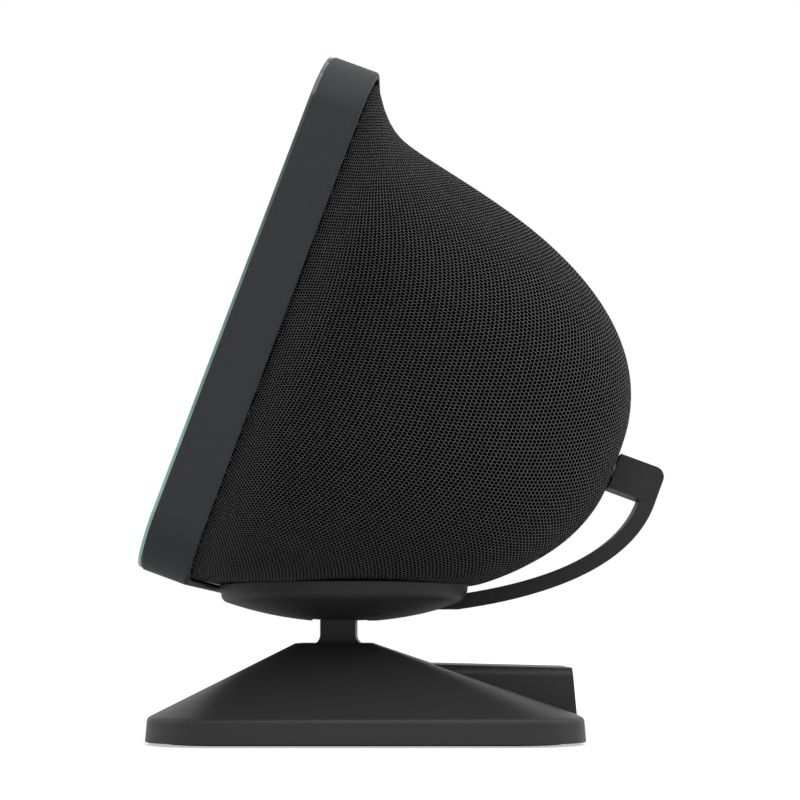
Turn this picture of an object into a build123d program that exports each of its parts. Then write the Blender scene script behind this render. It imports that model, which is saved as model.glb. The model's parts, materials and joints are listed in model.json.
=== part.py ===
from build123d import *
import os
from math import cos, exp, radians, sin, sqrt

os.makedirs("parts", exist_ok=True)

# A screen speaker on a powered stand that tilts. It stands on z = 0 with the screen towards -Y,
# and +X is on the right of someone who faces the screen. Millimetres and degrees.

# Where the head sits
pivot_y = -8.4
pivot_z = 37.6
screen_tilt = 20.3
screen_reach = 48.1
screen_rise = 8.3

# Screen slab
screen_width = 200.0
screen_height = 139.0
screen_corner = 15.0
glass_thickness = 1.1
glass_setback = 0.3
glass_edge = 0.35
frame_depth = 12.3
frame_wall = 1.5
frame_edge = 1.0
ledge_thickness = 2.0
panel_margin_x = 13.0
panel_margin_y = 14.5
panel_thickness = 3.5
panel_gap = 1.0
chassis_thickness = 1.2
chassis_gap = 0.3
skirt_depth = 3.4
frame_post_radius = 3.0
frame_post_inset = 7.5
frame_post_margin = 19.5

# Fabric-covered body behind the screen
body_depth = 108.6
body_axis = 4.5
body_side_inset = 15.0
body_top_inset = 7.5
body_bottom_inset = 4.5
top_power = 2.65
side_power = 2.0
drop_power = 2.2
top_taper = 2.0
side_taper = 2.0
drop_taper = 1.6
body_roundness = 0.8
flare_run = 2.5
corner_run = 14.0
body_stations = 11
station_crowding = 1.6
closing_angle = 82.7
fabric_groove = 0.7
fabric_thickness = 1.0
shell_wall = 2.0
shell_post_radius = 3.2
shell_post_length = 12.0
shell_post_inset = 4.5
shell_post_margin = 35.0

# Loudspeakers
driver_radius = 28.5
driver_inset = 22.0
driver_depth = 50.0
driver_turn = 26.0
driver_mouth = 24.7
driver_flange = 2.2
magnet_radius = 15.5
magnet_height = 10.0
basket_height = 15.0
cone_thickness = 0.8
coil_radius = 7.0
cone_height = 9.0
surround_width = 3.2
surround_roll = 1.6
seat_margin = 1.0
radiator_length = 60.0
radiator_breadth = 34.0
radiator_depth = 60.0
radiator_inset = 14.0
radiator_turn = 14.0
radiator_sheet = 1.5
radiator_roll = 4.0
radiator_groove = 5.0
groove_width = 2.0

# Power socket in the back of the body
jack_radius = 5.5
jack_length = 14.0
jack_bore = 2.9
jack_pin = 0.9
jack_flange = 8.0
jack_flange_setback = 5.0
jack_height = 3.25

# Controls on the top edge
button_length = 10.0
button_width = 4.0
button_proud = 0.6
button_travel = 0.5
button_pitch = 22.0
button_start = -33.0
button_depth = 5.6
button_flange = 1.2
button_rim = 0.4
button_gap = 0.25
switch_height = 1.5
switch_gap = 0.1
board_thickness = 1.0
mic_size = 3.0
mic_height = 1.0
mic_hole = 0.6
mic_margin = 16.5
camera_margin = 38.0
camera_inset = 7.5
camera_window = 3.0
camera_size = 7.6
shutter_travel = 8.0
knob_length = 5.0
knob_width = 2.6
blade_width = 9.0
blade_thickness = 0.6

# Boards in the head
main_board_width = 120.0
main_board_height = 70.0
circuit_thickness = 1.6
standoff_radius = 2.5
standoff_height = 3.0
board_screw_inset = 5.0
connector_x = 40.0
connector_width = 5.0
connector_height = 4.8
cable_slot_length = 42.0
cable_slot_width = 12.0
shield_width = 42.0
shield_height = 32.0
shield_thickness = 2.4
spreader_plate = 1.6
fin_height = 6.0
fin_thickness = 1.2
fin_count = 7

# Cradle
cradle_width = 110.0
cradle_length = 71.6
cradle_shift = 1.5
cradle_drop = 4.9
underside_radius = 105.0
bowl_rings = 5
ring_crowding = 0.8
rim_rise = 5.6
rim_draft = 0.5
bowl_edge = 2.5
tray_wall = 1.8
deck_thickness = 1.0
deck_gap = 0.3
pad_thickness = 0.6
pad_margin_x = 9.0
pad_margin_y = 7.3
foot_margin_x = 15.0
foot_margin_y = 10.8
foot_proud = 0.4
foot_rim = 8.0
magnet_disc = 5.0
magnet_disc_height = 2.0
magnet_inset_x = 12.0
magnet_inset_y = 11.0
deck_post_radius = 3.0
deck_post_margin_x = 15.0
deck_post_margin_y = 21.8

# Hinge
barrel_radius = 3.4
barrel_length = 30.0
barrel_clearance = 0.4
pin_radius = 1.6
pin_fit = 0.05
bush_wall = 0.9
bush_length = 9.0
press_clearance = 0.01
washer_thickness = 0.8
washer_gap = 0.1
lug_thickness = 4.0
lug_radius = 3.2
slot_half_width = 8.2
pin_head_radius = 2.6
pin_head_height = 1.6
spring_washer_height = 0.5
cap_height = 2.0
pin_chamfer = 0.4
head_room = 0.3

# Power arm and plug
arm_width = 14.0
arm_thickness = 4.3
arm_exit_inset = 2.9
arm_deck_gap = 0.7
arm_pitch = 8.0
arm_lower_sweep = 14.0
arm_upper_sweep = 24.0
tongue_length = 17.0
tongue_step = 9.0
tongue_thickness = 3.0
plug_length = 14.0
plug_height = 10.4
plug_corner = 3.0
plug_gap = 0.6
plug_radius = 2.75
plug_reach = 9.5
plug_wall = 0.5
notch_gap = 0.2
arm_screw_spread = 8.0

# Stand
base_width = 130.0
base_length = 118.0
base_corner = 20.0
base_lift = 0.6
rim_height = 7.0
rim_edge = 1.5
rim_slope = 4.0
plateau_height = 26.7
plateau_width = 48.0
plateau_length = 21.3
plateau_y = -9.55
plateau_corner = 4.0
plateau_edge = 1.5
base_wall = 2.5
spine_width = 46.0
spine_front = 8.0
spine_top_front = 20.8
spine_top_rear = 19.9
spine_bend = 20.0
spine_lean = 1.7
spine_edge = 2.5
neck_width = 10.0
neck_flare = 2.4
neck_flare_run = 1.2
neck_shoulder = 4.6
spigot_width = 26.0
spigot_length = 8.0
spigot_gap = 0.2
clamp_thickness = 1.5
clamp_margin = 3.0
lead_bore = 1.5
neck_screw_spread = 16.0
plate_thickness = 2.0
plate_gap = 0.8
pad_sheet = 1.0
pad_margin = 6.0
ballast_margin_x = 20.0
ballast_margin_y = 30.0
ballast_height = 6.0
ballast_y = -18.0
base_post_radius = 3.5
base_post_margin_x = 19.0
base_post_margin_y = 17.0
board_width = 38.0
board_length = 24.0
board_rise = 3.0
board_post_radius = 2.0
inlet_x = -10.0
inlet_radius = 4.0
inlet_width = 11.0
inlet_depth = 12.0
inlet_height = 9.0
inlet_bore = 2.9
inlet_pin = 0.9
usb_x = 10.0
usb_width = 9.0
usb_height = 3.2
usb_length = 8.0
usb_wall = 0.35
port_gap = 0.2
port_setback = 0.3

# Screws
screw_radius = 1.0
screw_clearance = 0.05
screw_head_radius = 1.9
screw_head_height = 1.4
screw_length = 6.0
deck_screw_bite = 3.0
arm_screw_bite = 1.5

# Directions and planes of the head. On the screen plane x is across, y is up from the middle of
# the glass, and depth behind the glass runs along its negative normal.
lean = radians(screen_tilt)
up = Vector(0, sin(lean), cos(lean))
back = Vector(0, cos(lean), -sin(lean))
glass_lower_edge = Vector(0, pivot_y - screen_reach, pivot_z + screen_rise)
screen = Plane(origin=glass_lower_edge + up * (screen_height / 2), x_dir=(1, 0, 0), z_dir=-back)
frame_rear = glass_thickness + frame_depth
ledge_rear = glass_thickness + ledge_thickness
chassis_rear = frame_rear - skirt_depth
chassis_front = chassis_rear - chassis_thickness
top_inside = screen_height / 2 - frame_wall
panel_width = screen_width - 2 * panel_margin_x
panel_height = screen_height - 2 * panel_margin_y
frame_post_spread = screen_height - 2 * frame_post_margin


def behind_glass(depth):
    """Sketch plane parallel to the glass at a depth behind its face."""
    return screen.offset(-depth)


def head_point(across, height, depth):
    """Point of the head from its place across, above the glass middle and behind the glass."""
    return screen.from_local_coords(Vector(across, height, -depth))


def side_point(height, depth):
    """The same point seen from the side, as its y and z."""
    point = head_point(0, height, depth)
    return (point.Y, point.Z)


# Levels of the cradle and of the sole that stands in it
cradle_y = pivot_y + cradle_shift
rim_top = pivot_z + rim_rise
deck_under = pivot_z + barrel_radius + barrel_clearance
deck_top = deck_under + deck_thickness
pad_top = deck_top + pad_thickness
sole_level = pad_top + foot_proud
pad_width = cradle_width - 2 * pad_margin_x
pad_length = cradle_length - 2 * pad_margin_y
foot_width = cradle_width - 2 * foot_margin_x
foot_length = cradle_length - 2 * foot_margin_y
magnet_spread_x = foot_width - 2 * magnet_inset_x
magnet_spread_y = foot_length - 2 * magnet_inset_y
deck_post_spread_x = cradle_width - 2 * deck_post_margin_x
deck_post_spread_y = cradle_length - 2 * deck_post_margin_y

# The body's profile is an oval that closes towards the back, plus a flare where it meets the frame
edge_half_width = screen_width / 2 - frame_wall - fabric_groove
edge_half_height = screen_height / 2 - frame_wall - fabric_groove
edge_corner = screen_corner - frame_wall - fabric_groove
edge_rise = edge_half_height - body_axis
edge_drop = edge_half_height + body_axis
body_half_width = screen_width / 2 - body_side_inset
body_rise = screen_height / 2 - body_axis - body_top_inset
body_drop = screen_height / 2 + body_axis - body_bottom_inset


def body_reach(full, edge, share, taper, power, run):
    """How far the body reaches from its axis at a share of its depth."""
    oval = full * (1 - share**taper) ** (1 / power)
    return oval + (edge - full) * exp(-share * run / flare_run)


def body_section(share, run, inset):
    """Half width, rise, drop and corner radius of one section, drawn in by the inset."""
    half_width = body_reach(body_half_width, edge_half_width, share, side_taper, side_power, run) - inset
    rise = body_reach(body_rise, edge_rise, share, top_taper, top_power, run) - inset
    drop = body_reach(body_drop, edge_drop, share, drop_taper, drop_power, run) - inset
    full_corner = body_roundness * min(half_width, (rise + drop) / 2)
    corner = full_corner + (edge_corner - inset - full_corner) * exp(-share * run / corner_run)
    return half_width, rise, drop, corner


def body_form(inset):
    """Solid of the body drawn in by an even inset, with its level sole cut flat."""
    run = body_depth - inset - frame_rear
    last_share = sin(radians(closing_angle))
    with BuildPart() as form:
        for station in range(body_stations + 1):
            turn = closing_angle * (station / body_stations) ** station_crowding
            share = sin(radians(turn))
            half_width, rise, drop, corner = body_section(share, run, inset)
            with BuildSketch(behind_glass(frame_rear + run * share / last_share)):
                with Locations((0, body_axis + (rise - drop) / 2)):
                    RectangleRounded(2 * half_width, rise + drop, corner)
        loft()
        half_width, rise, drop, corner = body_section(0, run, inset)
        with BuildSketch(behind_glass(chassis_rear)):
            with Locations((0, body_axis + (rise - drop) / 2)):
                RectangleRounded(2 * half_width, rise + drop, corner)
        extrude(amount=-skirt_depth)
        split(bisect_by=Plane.XY.offset(sole_level + inset), keep=Keep.TOP)
    return form.part


def driver_plane(side):
    """Plane of a driver's mounting ring; side is -1 on the left and 1 on the right."""
    turn = radians(driver_turn)
    axis = Vector(side * cos(turn), 0, 0) + back * sin(turn)
    place = side * (body_half_width - driver_inset)
    return Plane(origin=head_point(place, 0, driver_depth), x_dir=up, z_dir=axis)


def turning_plane(seat):
    """Plane through a seat's axis: x is the radius and y runs out along the axis."""
    return Plane(origin=seat.origin, x_dir=seat.x_dir, z_dir=-seat.y_dir)


radiator_lean = radians(radiator_turn)
radiator_plane = Plane(
    origin=head_point(0, body_axis + body_rise - radiator_inset, radiator_depth),
    x_dir=(1, 0, 0),
    z_dir=up * cos(radiator_lean) + back * sin(radiator_lean),
)
jack_end = body_depth
jack_seat = jack_end - jack_flange_setback
sound_reach = body_depth

shell_post_x = body_half_width - shell_post_inset
shell_post_y = screen_height / 2 - shell_post_margin
shell_screw_places = [(x, y) for x in (-shell_post_x, shell_post_x) for y in (-shell_post_y, shell_post_y)]
frame_screw_places = [
    (x, y)
    for x in (frame_post_inset - screen_width / 2, screen_width / 2 - frame_post_inset)
    for y in (-frame_post_spread / 2, frame_post_spread / 2)
]
pilot_radius = screw_radius + screw_clearance
pieces = {}

# Cover glass
with BuildPart() as front_glass:
    with BuildSketch(screen):
        RectangleRounded(
            screen_width - 2 * glass_setback,
            screen_height - 2 * glass_setback,
            screen_corner - glass_setback,
        )
    extrude(amount=-glass_thickness)
    fillet(front_glass.faces().sort_by(Axis(screen.origin, screen.z_dir))[-1].edges(), glass_edge)
pieces["front_glass"] = front_glass

# Plane of the frame's top edge: x across, y back from the buttons' line, z out of the edge
top_edge = Plane(
    origin=head_point(0, screen_height / 2, button_depth), x_dir=(1, 0, 0), z_dir=up
)
button_places = {
    "mic_off_button": button_start,
    "volume_down_button": button_start + button_pitch,
    "volume_up_button": button_start + 2 * button_pitch,
}
mic_places = [button_places["mic_off_button"] - mic_margin, button_places["volume_up_button"] + mic_margin]
camera_x = screen_width / 2 - camera_margin
camera_height = screen_height / 2 - camera_inset
open_x = camera_x - shutter_travel
slot_middle = (open_x + camera_x) / 2

# Frame round the screen: an outer wall, a ledge for the glass, and posts for the chassis
with BuildPart() as bezel_frame:
    with BuildSketch(behind_glass(glass_thickness)):
        RectangleRounded(screen_width, screen_height, screen_corner)
    extrude(amount=-frame_depth)
    fillet(bezel_frame.faces().sort_by(Axis(screen.origin, screen.z_dir))[0].edges(), frame_edge)
    fillet(bezel_frame.faces().sort_by(Axis(screen.origin, screen.z_dir))[-1].edges(), frame_edge / 2)
    with BuildSketch(behind_glass(frame_rear)):
        RectangleRounded(
            screen_width - 2 * frame_wall, screen_height - 2 * frame_wall, screen_corner - frame_wall
        )
    extrude(amount=frame_depth - ledge_thickness, mode=Mode.SUBTRACT)
    with BuildSketch(behind_glass(glass_thickness)):
        Rectangle(panel_width + 2 * panel_gap, panel_height + 2 * panel_gap)
    extrude(amount=-ledge_thickness, mode=Mode.SUBTRACT)
    with BuildSketch(behind_glass(ledge_rear)):
        with Locations(*frame_screw_places):
            Circle(frame_post_radius)
    extrude(amount=ledge_rear - chassis_front)
    with BuildSketch(behind_glass(chassis_front)):
        with Locations(*frame_screw_places):
            Circle(pilot_radius)
    extrude(amount=chassis_front - ledge_rear, mode=Mode.SUBTRACT)
    with BuildSketch(top_edge):
        for place in button_places.values():
            with Locations((place, 0)):
                SlotOverall(button_length + 2 * button_gap, button_width + 2 * button_gap)
        with Locations((slot_middle, 0)):
            SlotOverall(knob_length + shutter_travel + 2 * button_gap, knob_width + 2 * button_gap)
        for place in mic_places:
            with Locations((place, 0)):
                Circle(mic_hole)
    extrude(amount=-frame_wall, mode=Mode.SUBTRACT)
    with BuildSketch(behind_glass(glass_thickness)):
        with Locations((camera_x, camera_height)):
            Circle(camera_window)
    extrude(amount=-ledge_thickness, mode=Mode.SUBTRACT)
pieces["bezel_frame"] = bezel_frame

# Display panel, bonded to the back of the glass
with BuildPart() as display_panel:
    with BuildSketch(behind_glass(glass_thickness)):
        Rectangle(panel_width, panel_height)
    extrude(amount=-panel_thickness)
    chamfer(display_panel.faces().sort_by(Axis(screen.origin, screen.z_dir))[0].edges(), panel_gap)
pieces["display_panel"] = display_panel

# Metal chassis that carries the boards and closes the frame
board_screw_places = [
    (x, body_axis + y)
    for x in (board_screw_inset - main_board_width / 2, main_board_width / 2 - board_screw_inset)
    for y in (board_screw_inset - main_board_height / 2, main_board_height / 2 - board_screw_inset)
]
with BuildPart() as display_chassis:
    with BuildSketch(behind_glass(chassis_front)):
        RectangleRounded(
            screen_width - 2 * (frame_wall + chassis_gap),
            screen_height - 2 * (frame_wall + chassis_gap),
            screen_corner - frame_wall - chassis_gap,
        )
        with Locations(*frame_screw_places, *shell_screw_places):
            Circle(screw_radius + screw_clearance, mode=Mode.SUBTRACT)
        with Locations((0, body_axis - main_board_height / 2 - cable_slot_width)):
            SlotOverall(cable_slot_length, cable_slot_width, mode=Mode.SUBTRACT)
    extrude(amount=-chassis_thickness)
    with BuildSketch(behind_glass(chassis_rear)):
        with Locations(*board_screw_places):
            Circle(standoff_radius)
    extrude(amount=-standoff_height)
pieces["display_chassis"] = display_chassis

# Camera behind its window in the frame's ledge
blade_front = ledge_rear + button_gap
camera_front = blade_front + blade_thickness + button_gap
with BuildPart() as camera_module:
    with BuildSketch(behind_glass(chassis_front)):
        with Locations((camera_x, camera_height)):
            Rectangle(camera_size, camera_size)
    extrude(amount=(chassis_front - camera_front) / 2)
    with BuildSketch(behind_glass(chassis_front)):
        with Locations((camera_x, camera_height)):
            Circle(camera_window)
    extrude(amount=chassis_front - camera_front)
pieces["camera_module"] = camera_module

# Sliding cover of the camera: a knob on the top edge and a blade that crosses the lens
carrier_top = top_inside - button_gap
blade_foot = camera_height - camera_window - button_gap
carrier_under = camera_height + camera_size / 2 + button_gap
with BuildPart() as camera_shutter:
    with BuildSketch(top_edge):
        with Locations((open_x, 0)):
            SlotOverall(knob_length, knob_width)
    extrude(amount=button_proud)
    with BuildSketch(top_edge):
        with Locations((open_x, 0)):
            SlotOverall(knob_length, knob_width)
    extrude(amount=carrier_top - screen_height / 2)
    with BuildSketch(Plane.YZ.offset(open_x - blade_width / 2)):
        with BuildLine():
            Polyline(
                side_point(carrier_top, blade_front),
                side_point(carrier_top, button_depth + knob_width / 2),
                side_point(carrier_under, button_depth + knob_width / 2),
                side_point(carrier_under, blade_front + blade_thickness),
                side_point(blade_foot, blade_front + blade_thickness),
                side_point(blade_foot, blade_front),
                close=True,
            )
        make_face()
    extrude(amount=blade_width)
    fillet(camera_shutter.faces().sort_by(Axis(screen.origin, up))[-1].edges(), button_proud / 2)
pieces["camera_shutter"] = camera_shutter

# Push buttons, each a pill with a flange that keeps it inside the wall
flange_top = top_inside - button_gap
flange_under = flange_top - button_flange
for name, place in button_places.items():
    with BuildPart() as button:
        with BuildSketch(top_edge):
            with Locations((place, 0)):
                SlotOverall(button_length, button_width)
        extrude(amount=button_proud)
        with BuildSketch(top_edge):
            with Locations((place, 0)):
                SlotOverall(button_length, button_width)
        extrude(amount=flange_top - screen_height / 2)
        with BuildSketch(top_edge.offset(flange_under - screen_height / 2)):
            with Locations((place, 0)):
                SlotOverall(button_length + 2 * button_rim, button_width + 2 * button_rim)
        extrude(amount=button_flange)
        fillet(button.faces().sort_by(Axis(screen.origin, up))[-1].edges(), button_proud / 2)
    pieces[name] = button

# Circuit strip under the buttons, held between the ledge and the chassis, with its switches
switch_top = flange_under - button_travel - switch_gap
strip_top = switch_top - switch_height
strip_middle = (ledge_rear + chassis_front) / 2
strip_plane = Plane(
    origin=head_point(0, strip_top, strip_middle), x_dir=(1, 0, 0), z_dir=up
)
with BuildPart() as button_board:
    with BuildSketch(strip_plane):
        with Locations(((mic_places[0] + mic_places[-1]) / 2, 0)):
            Rectangle(mic_places[-1] - mic_places[0] + 4 * mic_size, chassis_front - ledge_rear)
    extrude(amount=-board_thickness)
    with BuildSketch(strip_plane):
        for place in button_places.values():
            with Locations((place, button_depth - strip_middle)):
                Rectangle(button_width, button_width - 2 * button_rim)
    extrude(amount=switch_height)
pieces["button_board"] = button_board

with BuildPart() as microphones:
    with BuildSketch(strip_plane):
        for place in mic_places:
            with Locations((place, button_depth - strip_middle)):
                Rectangle(mic_size, mic_size)
    extrude(amount=mic_height)
pieces["microphones"] = microphones

# Main circuit board with its shield can and two connectors
board_front = chassis_rear + standoff_height
board_rear = board_front + circuit_thickness
with BuildPart() as main_board:
    with BuildSketch(behind_glass(board_front)):
        with Locations((0, body_axis)):
            Rectangle(main_board_width, main_board_height)
    extrude(amount=-circuit_thickness)
    with BuildSketch(behind_glass(board_rear)):
        with Locations((0, body_axis)):
            RectangleRounded(shield_width, shield_height, standoff_radius)
    extrude(amount=-shield_thickness)
    with BuildSketch(behind_glass(board_rear)):
        with Locations((-connector_x, body_axis), (connector_x, body_axis)):
            Rectangle(connector_width, shield_height)
    extrude(amount=-connector_height)
pieces["main_board"] = main_board

# Finned aluminium heat spreader on the shield can
spreader_front = board_rear + shield_thickness
fin_pitch = (shield_height - fin_thickness) / (fin_count - 1)
with BuildPart() as heat_spreader:
    with BuildSketch(behind_glass(spreader_front)):
        with Locations((0, body_axis)):
            Rectangle(shield_width, shield_height)
    extrude(amount=-spreader_plate)
    with BuildSketch(behind_glass(spreader_front + spreader_plate)):
        with Locations((0, body_axis)):
            with GridLocations(0, fin_pitch, 1, fin_count):
                Rectangle(shield_width, fin_thickness)
    extrude(amount=-fin_height)
pieces["heat_spreader"] = heat_spreader

# Room inside the rear shell, less the posts and the seats that stay solid in it
with BuildPart() as shell_room:
    add(body_form(fabric_thickness + shell_wall))
    with BuildSketch(behind_glass(chassis_rear)):
        with Locations(*shell_screw_places):
            Circle(shell_post_radius)
    extrude(amount=-shell_post_length, mode=Mode.SUBTRACT)
    for side in (-1, 1):
        with BuildSketch(driver_plane(side)):
            Circle(driver_radius + seat_margin)
        extrude(amount=sound_reach, mode=Mode.SUBTRACT)
    with BuildSketch(radiator_plane):
        SlotOverall(radiator_length + 2 * seat_margin, radiator_breadth + 2 * seat_margin)
    extrude(amount=sound_reach, mode=Mode.SUBTRACT)
    with BuildSketch(behind_glass(jack_seat)):
        with Locations((0, jack_height)):
            Circle(jack_flange + seat_margin)
    extrude(amount=-jack_flange_setback, mode=Mode.SUBTRACT)

# Moulded rear shell with its sound openings
sole_oval = Plane.XY.offset(pad_top)
with BuildPart() as rear_shell:
    add(body_form(fabric_thickness))
    add(shell_room.part, mode=Mode.SUBTRACT)
    for side in (-1, 1):
        with BuildSketch(driver_plane(side)):
            Circle(driver_mouth)
        extrude(amount=sound_reach, mode=Mode.SUBTRACT)
    with BuildSketch(radiator_plane):
        SlotOverall(radiator_length - 2 * radiator_roll, radiator_breadth - 2 * radiator_roll)
    extrude(amount=sound_reach, mode=Mode.SUBTRACT)
    with BuildSketch(behind_glass(jack_seat)):
        with Locations((0, jack_height)):
            Circle(jack_radius + port_gap)
    extrude(amount=-jack_flange_setback, mode=Mode.SUBTRACT)
    with BuildSketch(behind_glass(chassis_rear)):
        with Locations(*shell_screw_places):
            Circle(pilot_radius)
    extrude(amount=-screw_length, mode=Mode.SUBTRACT)
pieces["rear_shell"] = rear_shell

# Knitted cover over the shell, open at the foot and at the power socket
with BuildPart() as fabric_cover:
    add(body_form(0))
    add(body_form(fabric_thickness), mode=Mode.SUBTRACT)
    with BuildSketch(sole_oval):
        with Locations((0, pivot_y)):
            Ellipse(foot_width / 2 + port_gap, foot_length / 2 + port_gap)
    extrude(amount=foot_proud + fabric_thickness, mode=Mode.SUBTRACT)
    with BuildSketch(behind_glass(jack_seat)):
        with Locations((0, jack_height)):
            Circle(jack_radius + port_gap)
    extrude(amount=-jack_flange_setback, mode=Mode.SUBTRACT)
pieces["fabric_cover"] = fabric_cover

# Loudspeakers: a pressed basket with its magnet, and a cone with a half-round surround
ledge_step = cone_thickness
for side, name in ((-1, "left"), (1, "right")):
    seat = driver_plane(side)
    surround_inner = driver_mouth - surround_width
    with BuildPart() as basket:
        with BuildSketch(turning_plane(seat)):
            with BuildLine():
                Polyline(
                    (driver_mouth, 0),
                    (driver_radius, 0),
                    (driver_radius, -driver_flange),
                    (driver_mouth + ledge_step, -driver_flange),
                    (magnet_radius - ledge_step, -basket_height),
                    (magnet_radius, -basket_height),
                    (magnet_radius, -basket_height - magnet_height),
                    (0, -basket_height - magnet_height),
                    (0, -basket_height),
                    (magnet_radius - surround_width, -basket_height),
                    (driver_mouth - surround_roll, -driver_flange),
                    (driver_mouth - surround_roll, -ledge_step),
                    (driver_mouth, -ledge_step),
                    close=True,
                )
            make_face()
        revolve(axis=Axis(seat.origin, seat.z_dir))
    pieces[name + "_driver"] = basket
    with BuildPart() as cone:
        with BuildSketch(turning_plane(seat)):
            with BuildLine():
                Polyline(
                    (driver_mouth - screw_clearance, 0),
                    (driver_mouth - screw_clearance, -ledge_step),
                    (surround_inner, -ledge_step),
                    (coil_radius, -cone_height),
                    (coil_radius, -basket_height),
                    (coil_radius - ledge_step, -basket_height),
                    (coil_radius - ledge_step, -cone_height),
                )
                Polyline(
                    (coil_radius - ledge_step, -cone_height),
                    (0, -cone_height),
                    (0, ledge_step - cone_height),
                    (coil_radius, ledge_step - cone_height),
                )
                Line((coil_radius, ledge_step - cone_height), (surround_inner - surround_roll, 0))
                ThreePointArc(
                    (surround_inner - surround_roll, 0),
                    (surround_inner, surround_roll),
                    (surround_inner + surround_roll, 0),
                )
                Line((surround_inner + surround_roll, 0), (driver_mouth - screw_clearance, 0))
            make_face()
        revolve(axis=Axis(seat.origin, seat.z_dir))
    pieces[name + "_cone"] = cone

# Passive bass radiator: a rubber sheet with a weighted plate
with BuildPart() as passive_radiator:
    with BuildSketch(radiator_plane):
        SlotOverall(radiator_length, radiator_breadth)
    extrude(amount=-radiator_sheet)
    with BuildSketch(radiator_plane):
        SlotOverall(radiator_length - 4 * radiator_roll, radiator_breadth - 4 * radiator_roll)
    extrude(amount=radiator_sheet)
    with BuildSketch(radiator_plane.offset(-radiator_sheet)):
        SlotOverall(radiator_length - 4 * radiator_roll, radiator_breadth - 4 * radiator_roll)
    extrude(amount=-radiator_sheet)
    with BuildSketch(radiator_plane):
        SlotOverall(radiator_length - 2 * radiator_groove, radiator_breadth - 2 * radiator_groove)
        SlotOverall(
            radiator_length - 2 * (radiator_groove + groove_width),
            radiator_breadth - 2 * (radiator_groove + groove_width),
            mode=Mode.SUBTRACT,
        )
    extrude(amount=-radiator_sheet / 2, mode=Mode.SUBTRACT)
pieces["passive_radiator"] = passive_radiator

# Power socket of the speaker, with its flange against the shell
with BuildPart() as dc_jack:
    with BuildSketch(behind_glass(jack_end)):
        with Locations((0, jack_height)):
            Circle(jack_radius)
    extrude(amount=jack_length)
    with BuildSketch(behind_glass(jack_seat)):
        with Locations((0, jack_height)):
            Circle(jack_flange)
    extrude(amount=jack_flange_setback / 2)
    with BuildSketch(behind_glass(jack_end)):
        with Locations((0, jack_height)):
            Circle(jack_bore)
            Circle(jack_pin, mode=Mode.SUBTRACT)
    extrude(amount=plug_reach + plug_gap, mode=Mode.SUBTRACT)
pieces["dc_jack"] = dc_jack

# Rubber foot of the speaker, bonded to the shell through the cover's opening
foot_recess = foot_proud / 2
with BuildPart() as speaker_foot:
    with BuildSketch(sole_oval):
        with Locations((0, pivot_y)):
            Ellipse(foot_width / 2, foot_length / 2)
    extrude(amount=foot_proud + fabric_thickness)
    with BuildSketch(sole_oval):
        with Locations((0, pivot_y)):
            Ellipse(foot_width / 2 - foot_rim, foot_length / 2 - foot_rim)
    extrude(amount=foot_recess, mode=Mode.SUBTRACT)
pieces["speaker_foot"] = speaker_foot

# Magnet pairs that hold the speaker to the cradle
with BuildPart() as foot_magnets:
    with BuildSketch(Plane.XY.offset(sole_level + fabric_thickness + shell_wall)):
        with Locations((0, pivot_y)):
            with GridLocations(magnet_spread_x, magnet_spread_y, 2, 2):
                Circle(magnet_disc)
    extrude(amount=magnet_disc_height)
pieces["foot_magnets"] = foot_magnets

with BuildPart() as cradle_magnets:
    with BuildSketch(Plane.XY.offset(deck_under)):
        with Locations((0, pivot_y)):
            with GridLocations(magnet_spread_x, magnet_spread_y, 2, 2):
                Circle(magnet_disc)
    extrude(amount=-magnet_disc_height)
pieces["cradle_magnets"] = cradle_magnets

# Screws through the chassis into the frame's posts and into the rear shell
with BuildPart() as chassis_screws:
    with BuildSketch(behind_glass(chassis_rear)):
        with Locations(*frame_screw_places):
            Circle(screw_head_radius)
    extrude(amount=-screw_head_height)
    with BuildSketch(behind_glass(chassis_rear)):
        with Locations(*frame_screw_places):
            Circle(screw_radius)
    extrude(amount=min(screw_length, chassis_rear - ledge_rear))
pieces["chassis_screws"] = chassis_screws

with BuildPart() as shell_screws:
    with BuildSketch(behind_glass(chassis_front)):
        with Locations(*shell_screw_places):
            Circle(screw_head_radius)
    extrude(amount=screw_head_height)
    with BuildSketch(behind_glass(chassis_front)):
        with Locations(*shell_screw_places):
            Circle(screw_radius)
    extrude(amount=-screw_length)
pieces["shell_screws"] = shell_screws

# Cradle tray: an oval bowl with an arched underside and a low upright rim
oval_stretch = cradle_width / cradle_length
tray_low = pivot_z - cradle_drop


def arch_level(low, half):
    """Height of the arched underside where the oval has a half breadth."""
    return low + underside_radius - sqrt(underside_radius**2 - half**2)


def bowl(low, foot_half, rim_half, top):
    """Oval bowl from its lowest point up: an arched underside, then a wall to the top."""
    with BuildPart() as form:
        for ring in range(1, bowl_rings + 1):
            half = foot_half * (ring / bowl_rings) ** ring_crowding
            with BuildSketch(Plane.XY.offset(arch_level(low, half))):
                with Locations((0, cradle_y)):
                    Ellipse(half * oval_stretch, half)
        loft()
        with BuildSketch(Plane.XY.offset(arch_level(low, foot_half))):
            with Locations((0, cradle_y)):
                Ellipse(foot_half * oval_stretch, foot_half)
        with BuildSketch(Plane.XY.offset(top)):
            with Locations((0, cradle_y)):
                Ellipse(rim_half * oval_stretch, rim_half)
        loft(ruled=True)
        rim_foot = arch_level(low, foot_half)
        wall_edges = form.edges().filter_by_position(Axis.Z, rim_foot - port_gap, rim_foot + port_gap)
        fillet(wall_edges, bowl_edge)
    return form.part


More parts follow.
